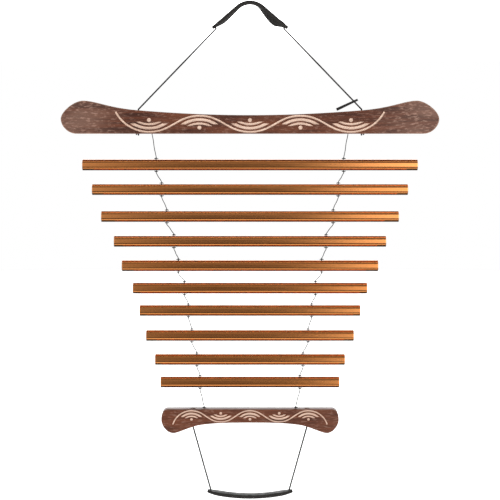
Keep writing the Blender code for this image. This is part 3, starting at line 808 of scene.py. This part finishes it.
def crescent(x, z, up, near, far, tip, outer, inner):
    """A crescent pocket between two arcs, its tips cut level. Heights count from the wave line."""
    bm = bmesh.new()
    y = FRONT - 1 * MM
    loops = []
    for start, radius in ((near, outer), (far, inner)):
        vert = bm.verts.new((x, y, z + up * start))
        centre = (x, y, z + up * (start + radius))
        wide = math.radians(56)
        bmesh.ops.rotate(bm, verts=[vert], cent=centre, matrix=Matrix.Rotation(-wide, 3, "Y"))
        bmesh.ops.spin(bm, geom=[vert], axis=(0, 1, 0), cent=centre, angle=2 * wide, steps=64)
        loops.append([e for e in bm.edges if not any(e in loop for loop in loops)])
    bmesh.ops.bridge_loops(bm, edges=loops[0] + loops[1])
    bmesh.ops.bisect_plane(
        bm, geom=bm.verts[:] + bm.edges[:] + bm.faces[:], plane_co=(x, y, z + up * tip),
        plane_no=(0, 0, up), clear_outer=True,
    )
    pocket(bm, bm.faces[:])
    return bm


def dot(x, z, up, centre, radius):
    """A round pocket."""
    bm = bmesh.new()
    at = Matrix.Translation((x, FRONT - 1 * MM, z + up * centre)) @ Matrix.Rotation(math.pi / 2, 4, "X")
    bmesh.ops.create_circle(bm, cap_ends=True, segments=40, radius=radius, matrix=at)
    pocket(bm, bm.faces[:])
    return bm


def drill(x, floor, up, radius, reach=60 * MM):
    """A hole right through a bar, widened past its knot's recess floor."""
    hole, recess = radius + 0.5 * MM, 3 * radius + 1.2 * MM
    bm = bmesh.new()
    profile = [
        (0, 0, -up * reach), (hole, 0, -up * reach), (hole, 0, 0),
        (recess, 0, 0), (recess, 0, up * reach), (0, 0, up * reach),
    ]
    lathe(bm, profile, (0, 0, 1), 32, (x, 0, floor))
    return bm


def cutter_object(parts):
    """One cutter of many closed shapes, each with its own finish on the faces it leaves."""
    whole = bmesh.new()
    for bm, finish in parts:
        for face in bm.faces:
            face.material_index = finish
        merge_into(whole, bm)
    return link("cutter", to_mesh(whole, "cutter", carved, wood))


BARE, STAINED = 0, 1  # the finish that a cutter leaves, by its place in the cutter's materials


def carving(trough, crest, half_wave, ends, first_is_trough, groove, thick, thin, spot):
    """The cutters of a bar's pattern: its wave, with two crescents and a dot in each bend."""
    line = wave_line(trough, crest, half_wave, 2 * half_wave, *ends, first_is_trough)
    parts = [(from_mesh(groove_cutter(line, groove), 0.005 * MM), BARE)]
    for k in range(-2, 3):
        in_trough = (k % 2 == 0) == first_is_trough
        at = (k * half_wave, trough, 1) if in_trough else (k * half_wave, crest, -1)
        parts.append((crescent(*at, *(size * MM for size in thick)), BARE))
        parts.append((crescent(*at, *(size * MM for size in thin)), BARE))
        parts.append((dot(*at, *(size * MM for size in spot)), BARE))
    return parts


def finished_bar(name, blank, parts, body):
    """The blank with all its cuts, flat on its flats and smooth on its rounded edges."""
    mesh = carved_out(blank, cutter_object(parts))
    mesh.shade_smooth()
    for face in mesh.polygons:
        face.use_smooth = abs(face.normal.y) <= FLAT
    outer = [material == wood for material in mesh.materials]
    mark_edges(mesh, lambda face: outer[face.material_index] and 0.08 < abs(face.normal.y) < FLAT)
    mesh.set_sharp_from_angle(angle=math.radians(35))
    obj = piece(name + "_wood", mesh, body, "wood", name)
    print(obj.name, len(mesh.polygons), "faces,", [round(d / MM, 1) for d in obj.dimensions], "mm")
    return obj


# %% [markdown]
# The upper bar stands on its straight lower edge. Its wave has a trough in the middle and runs two
# bends to each side. The handle cords go up through holes whose knots sit in recesses below, and
# the ladder cords go down through small holes whose knots sit in recesses on top.

# %% Upper bar
UPPER_FLAT = -190.5 * MM
KNOT_DEEP = 9 * MM  # how far a handle cord's recess goes in from the bar's flat edge
UPPER_SEAT = UPPER_FLAT + KNOT_DEEP
LADDER_TOP_SEAT = -162.449 * MM
parts = carving(
    UPPER_FLAT + 2.6 * MM, UPPER_FLAT + 25.9 * MM, 73.5 * MM, (55 * MM, 48 * MM), True, 2.6 * MM,
    thick=(3.5, 7.4, 12.4, 48, 42), thin=(9.6, 12.8, 14.9, 37, 41), spot=(17.1, 2.95),
)
for side in SIDES.values():
    parts.append((drill(side * UPPER_ROUTE[1].x, UPPER_SEAT, -1, HANDLE_CORD), STAINED))
    parts.append((drill(side * LADDER_START, LADDER_TOP_SEAT, 1, TWINE), STAINED))
finished_bar("upper_bar", bar_blank("upper_bar", UPPER_HALF, UPPER_FLAT, 1), parts, "upper_bar")

# %% [markdown]
# The lower bar is the same shape made smaller and turned over: its flat edge is on top, and its
# wave has a crest in the middle. The recesses of its handle cords open upwards, where they show.

# %% Lower bar
LOWER_FLAT = -595 * MM
LOWER_SEAT = LOWER_FLAT - KNOT_DEEP
LADDER_END = 67.663 * MM
LADDER_END_SEAT = -613.295 * MM
parts = carving(
    LOWER_FLAT - 18.6 * MM, LOWER_FLAT - 2.1 * MM, 43 * MM, (28.7 * MM, 27.2 * MM), False, 1.7 * MM,
    thick=(2.8, 5.7, 9.2, 22.4, 22.0), thin=(7.2, 9.2, 11.0, 15.6, 13.6), spot=(12.7, 1.95),
)
for side in SIDES.values():
    parts.append((drill(side * LOWER_ROUTE[0].x, LOWER_SEAT, 1, HANDLE_CORD), STAINED))
    parts.append((drill(side * LADDER_END, LADDER_END_SEAT, -1, TWINE), STAINED))
finished_bar("lower_bar", bar_blank("lower_bar", LOWER_HALF, LOWER_FLAT, -1), parts, "lower_bar")

# %% [markdown]
# ## Knots in the bars
# Every cord ends in a knot that cannot pass its hole. A wound knot is a coil of the same cord. The
# cord runs on through it: up to the point where the next stretch turns, and down as a short tail.

# %% Knots of the bars


def knot_piece(node, body, runs):
    """A knot of handle cord with its stub and tails."""
    mesh = tube_along("knot", runs, HANDLE_CORD, sides=16)
    mesh.materials.append(cord_black)
    piece(node + "_cord", mesh, body, "handle_cord", node)


height = KNOT_HEIGHT * HANDLE_CORD
for word, side in SIDES.items():
    x = side * UPPER_ROUTE[1].x
    tail = (x + side * 1.9 * MM, 0, -185.5 * MM), (x + side * 3.0 * MM, 0, -191.6 * MM)
    knot_piece(f"upper_bar_knot_{word}", "upper_bar", [
        rounded_run((x, 0, UPPER_ROUTE[1].z), (x, 0, -192.2 * MM), 0.8 * MM, HANDLE_CORD),
        wound_knot((x, 0, UPPER_SEAT - KNOT_GAP), (0, 0, -1), HANDLE_CORD, height, 2),
        rounded_run(*tail, 0.8 * MM, 0.8 * HANDLE_CORD),
    ])
    x = side * LOWER_ROUTE[0].x
    knot_piece(f"lower_bar_knot_{word}", "lower_bar", [
        rounded_run((x, 0, LOWER_ROUTE[0].z), (x, 0, -598.9 * MM), 0.8 * MM, HANDLE_CORD),
        wound_knot((x, 0, LOWER_SEAT + KNOT_GAP), (0, 0, 1), HANDLE_CORD, height, 2),
    ])
    x = side * LADDER_START
    twine_piece(f"ladder_top_{word}", "upper_bar", [
        rounded_run((x, 0, pivots["rung_01"][2]), (x, 0, -159.5 * MM), 0.6 * MM, TWINE, LAY),
        wound_knot((x, 0, LADDER_TOP_SEAT + KNOT_GAP), (0, 0, 1), TWINE, KNOT_HEIGHT * TWINE, 2),
    ])
    start, x = (side * start_x, 0, pivots["lower_bar"][2]), side * LADDER_END
    name, phase = f"ladder_11_{word}", 19 + side
    ladder_stretch(name, "lower_bar", start, x, LOWER_FLAT, LADDER_END_SEAT, phase)
bpy.data.objects.remove(twine_section)
print("knots made")

# %% [markdown]
# ## Hand straps
# Each hand strap is a flat black band with round tips, softly bent by its own stiffness. A ring of
# points is carried along the bent middle line and bridged to the next. The band draws in and is
# pared thinner over its last 15 mm, where the cord leaves it. The upper strap rolls a little along
# its legs, so that its underside shows to the front, and lies level again at its tips.

# %% Strap line
STRAP_WIDTH, STRAP_THICKNESS = 17 * MM, 5 * MM
STRAP_TIP = 15 * MM  # the length over which a strap draws in
UPPER_STRAP, LOWER_STRAP = 134.7 * MM, 127 * MM  # lengths along the bend


def strap_line(stretches):
    """(x, z, slope) along one half of a strap, every quarter millimetre."""
    step = 0.25 * MM
    x = z = slope = 0.0
    line = [(0.0, 0.0, 0.0)]
    for length, turn in stretches:
        count = max(1, round(length / step))
        for _ in range(count):
            x += math.cos(slope + turn / count / 2) * length / count
            z -= math.sin(slope + turn / count / 2) * length / count
            slope += turn / count
            line.append((x, z, slope))
    return line


def on_line(line, half, s):
    """The place on the strap's middle line at a distance s from its middle."""
    side = math.copysign(1, s)
    place = min(abs(s), half) / half * (len(line) - 1)
    low = min(int(place), len(line) - 2)
    share = place - low
    x, z, slope = (a + (b - a) * share for a, b in zip(line[low], line[low + 1]))
    return side * x, z, side * slope


def smooth_step(share):
    """0 to 1 with a soft start and end."""
    share = min(1.0, max(0.0, share))
    return share * share * (3 - 2 * share)


def upper_roll(s):
    """How far the upper strap rolls its underside to the front: most at two thirds of each leg."""
    flat, most, tip = 4 * MM, 46 * MM, UPPER_STRAP / 2
    rise = smooth_step((abs(s) - flat) / (most - flat))
    fall = 1 - 0.93 * smooth_step((abs(s) - most) / (tip - most))
    return math.radians(31 if s > 0 else 9) * rise * fall


def rounded_section(half_width, half_thick, edge):
    """A flat section with round corners, as (across, out) points."""
    points = []
    for corner, (cy, cn) in enumerate(((1, -1), (1, 1), (-1, 1), (-1, -1))):
        for k in range(5):
            angle = math.radians(-90 + 90 * corner + 22.5 * k)
            points.append((
                cy * (half_width - edge) + edge * math.cos(angle),
                cn * (half_thick - edge) + edge * math.sin(angle),
            ))
    return points


def band(name, at, length, line, roll):
    """The strap as a closed band of bridged rings, drawn in at its tips."""
    half, tip = length / 2, STRAP_TIP
    tips = [half - tip * (1 - math.cos(math.radians(a))) for a in range(0, 73, 8)]
    inner = [(half - tip) * k / 34 for k in range(34)]
    half_stations = inner + tips[::-1]
    stations = [-s for s in half_stations[:0:-1]] + half_stations
    bm = bmesh.new()
    loops = []
    for s in stations:
        beyond = max(0.0, abs(s) - (half - tip)) / tip
        width = max(STRAP_WIDTH / 2 * math.sqrt(max(0.0, 1 - beyond**2)), 2.55 * MM)
        x, z, slope = on_line(line, half, s)
        normal = Vector((math.sin(slope), 0, math.cos(slope)))
        turn = roll(s)
        across = Vector((0, 1, 0)) * math.cos(turn) - normal * math.sin(turn)
        out = normal * math.cos(turn) + Vector((0, 1, 0)) * math.sin(turn)
        drop = 0.8 * (STRAP_WIDTH / 2) * math.sin(turn) * (1 - min(1.0, beyond)) ** 2
        centre = Vector(at) + Vector((x, 0, z)) - normal * drop
        half_thick = STRAP_THICKNESS / 2 - 0.5 * MM * smooth_step(beyond / 0.6)
        section = rounded_section(width, half_thick, 0.8 * MM)
        ring = [bm.verts.new(centre + across * a + out * n) for a, n in section]
        loops.append([bm.edges.new(pair) for pair in zip(ring, ring[1:] + ring[:1])])
    for near, far in zip(loops, loops[1:]):
        bmesh.ops.bridge_loops(bm, edges=near + far)
    for end in (loops[0], loops[-1]):
        bmesh.ops.holes_fill(bm, edges=end, sides=0)
    return link(name, to_mesh(bm, name, strap_black))


HOLE_INSET = 4.5 * MM  # from the strap's end to its cord hole
SEAT = -0.5 * MM  # the recess's floor, from the strap's middle
RECESS = 3.8 * MM  # its radius


def strap(prefix, at, length, line, roll, outer, cord_end):
    """A strap with a drilled and counterbored hole at each end, and the knots that sit in them."""
    blank = band(prefix + "_strap", at, length, line, roll)
    half = length / 2
    whole = bmesh.new()
    knots = {}
    for word, side in SIDES.items():
        x, z, slope = on_line(line, half, side * (half - HOLE_INSET))
        centre = Vector(at) + Vector((x, 0, z))
        to_knot = Vector((math.sin(slope), 0, math.cos(slope))) * outer
        bm = bmesh.new()
        profile = [
            (0, 0, -4 * MM), (CORD_HOLE, 0, -4 * MM), (CORD_HOLE, 0, SEAT),
            (RECESS, 0, SEAT), (RECESS, 0, 4 * MM), (0, 0, 4 * MM),
        ]
        lathe(bm, profile, (0, 0, 1), 32)
        turn = Vector((0, 0, 1)).rotation_difference(to_knot).to_matrix().to_4x4()
        bmesh.ops.transform(bm, matrix=Matrix.Translation(centre) @ turn, verts=bm.verts[:])
        merge_into(whole, bm)
        knots[word] = (centre, to_knot)
    mesh = carved_out(blank, link("drills", to_mesh(whole, "drills", strap_black)))
    keep_sharp(mesh, 40)
    mark_edges(mesh, lambda face: 0.25 < abs(face.normal.y) < 0.97 and face.area < 2.5e-6)
    piece(prefix + "_strap_band", mesh, prefix + "_strap", "strap", prefix + "_strap")
    for word, (centre, to_knot) in knots.items():
        start = centre + to_knot * (SEAT + KNOT_GAP)
        end = mirrored(cord_end, SIDES[word])
        knot_piece(f"{prefix}_strap_knot_{word}", prefix + "_strap", [
            rounded_run(end, start + to_knot * 1.0 * MM, 0.6 * MM, HANDLE_CORD),
            wound_knot(start, to_knot, HANDLE_CORD, 2.21 * HANDLE_CORD, 1.25),
        ])
    print(prefix, "strap", len(mesh.polygons), "faces")


# %% [markdown]
# The upper strap bends over the hand or hook that carries it: a round peak, straight legs, and
# ends that lift a little where the cords pull outwards. The lower strap hangs in one shallow sag
# between its cords. Its recesses face down, because its cords come from above.

# %% Both straps
PEAK_RADIUS, PEAK_BEND = 28 * MM, math.radians(40.65)
LIFT_LENGTH, LIFT = 13 * MM, math.radians(11)
SAG = math.radians(14)
peak = PEAK_RADIUS * PEAK_BEND
leg = UPPER_STRAP / 2 - peak - LIFT_LENGTH
upper_line = strap_line(((peak, PEAK_BEND), (leg, 0), (LIFT_LENGTH, -LIFT)))
strap("upper", (0, 0, 0.1 * MM), UPPER_STRAP, upper_line, upper_roll, 1, UPPER_ROUTE[0])
lower_line = strap_line(((LOWER_STRAP / 2, -SAG),))
strap("lower", (0, 0, -725.9 * MM), LOWER_STRAP, lower_line, lambda s: 0.0, -1, LOWER_ROUTE[1])

# %% [markdown]
# ## Floor and light
# The chime hangs well above a plain pale floor, which gives off a little light of its own so that
# no shadow falls across it. It is left out of reflections, because a white floor would wash out
# the undersides of the tubes.

# %% Floor
bm = bmesh.new()
FLOOR_Z = -1.6
at = Matrix.Translation((0, 0, FLOOR_Z))
bmesh.ops.create_circle(bm, cap_ends=True, segments=96, radius=14, matrix=at)
pale, tree, shader, place = new_material("pale floor")
drift = use_group(tree, fibre, Vector=place, Spread=1.5)
for label, dim, light in (("Base Color", 0.90, 0.93), ("Emission Color", 0.97, 1.0)):
    shade = mix(tree, drift["Cloud"], (dim, dim, dim, 1), (light, light, light, 1))
    tree.links.new(shade, shader.inputs[label])
shader.inputs["Emission Strength"].default_value = 1.0
shader.inputs["Roughness"].default_value = 0.8
floor = link("floor", to_mesh(bm, "floor", pale))
floor.visible_glossy = False
print("floor at", FLOOR_Z, "m")

# %% [markdown]
# A narrow light overhead and one low in front draw the two bright lines along every tube. Two
# upright panels at the front light the wood, the right one more strongly and a little warmer.

# %% Lights


def panel(name, at, towards, width, height, power, colour=(1, 1, 1)):
    """A soft rectangular light aimed at a point."""
    data = bpy.data.lights.new(name, "AREA")
    data.shape = "RECTANGLE"
    data.size, data.size_y = width, height
    data.energy = power
    data.color = colour
    light = link(name, data)
    light.location = at
    light.rotation_euler = (Vector(towards) - Vector(at)).to_track_quat("-Z", "Y").to_euler()
    light.visible_camera = False


panel("overhead", (0, 0.05, 0.95), (0, 0.05, -0.4), 1.8, 0.55, 6)
panel("low_front", (0, -0.38, -1.35), (0, -0.02, -0.4), 1.8, 0.34, 2.2)
panel("top_front", (0, -1.5, 1.3), (0, 0, -0.4), 2.4, 1.2, 2.0)
panel("right_front", (1.26, -2.0, -0.35), (1.26, 0, -0.35), 1.48, 2.8, 13, (1.0, 0.985, 0.96))
panel("left_front", (-1.4, -2.6, -0.4), (-1.4, 0, -0.4), 1.4, 3.4, 3.5)
print("lights:", len(bpy.data.lights))

# %% [markdown]
# The surroundings are white where the camera sees them. In mirrors they are a dim room with a
# bright low band behind the chime, which shows as the pale top of the lower bar. Two soft glows
# stand in front, the right one stronger, and make each tube brighten smoothly towards its ends.
# The side walls are lit too, so the tubes keep their colour when they are seen from the side.

# %% World
world = bpy.data.worlds.new("studio")
world.use_nodes = True
bpy.context.scene.world = world
tree = world.node_tree
background = tree.nodes["Background"]
way = add(tree, "SeparateXYZ", Vector=add(tree, "TexCoord").outputs["Generated"]).outputs
behind = ramp(tree, way[1], 0.35, 0.7)
low = times(tree, ramp(tree, way[2], 0.03, 0.10), ramp(tree, way[2], 0.32, 0.50, 1.0, 0.0))
band = times(tree, times(tree, behind, low), 4.0)
level = ramp(tree, math_node(tree, "ABSOLUTE", way[2]), 0.58, 0.66, 1.0, 0.0)
before = times(tree, ramp(tree, way[1], -0.5, -0.2, 1.0, 0.0), level)
right = times(tree, ramp(tree, way[0], 0.030, 0.106, 0.0, 1.6), ramp(tree, way[0], 0.5, 0.8, 1.0, 0.0))
left = times(tree, ramp(tree, way[0], -0.14, -0.04, 0.62, 0.0), ramp(tree, way[0], -0.8, -0.5))
glows = times(tree, plus(tree, plus(tree, right, left), 0.05), before)
across = math_node(tree, "ABSOLUTE", way[0])
walls = times(tree, ramp(tree, across, 0.45, 0.80, 0.0, 0.6), ramp(tree, way[2], -0.15, 0.30))
room = plus(tree, plus(tree, plus(tree, glows, band), walls), 0.10)
seen = add(tree, "LightPath").outputs["Is Camera Ray"]
tree.links.new(math_node(tree, "MAXIMUM", room, seen), background.inputs["Strength"])
background.inputs["Color"].default_value = (1, 1, 1, 1)
print("world nodes:", len(tree.nodes))
bpy.context.scene.view_settings.view_transform = "Standard"
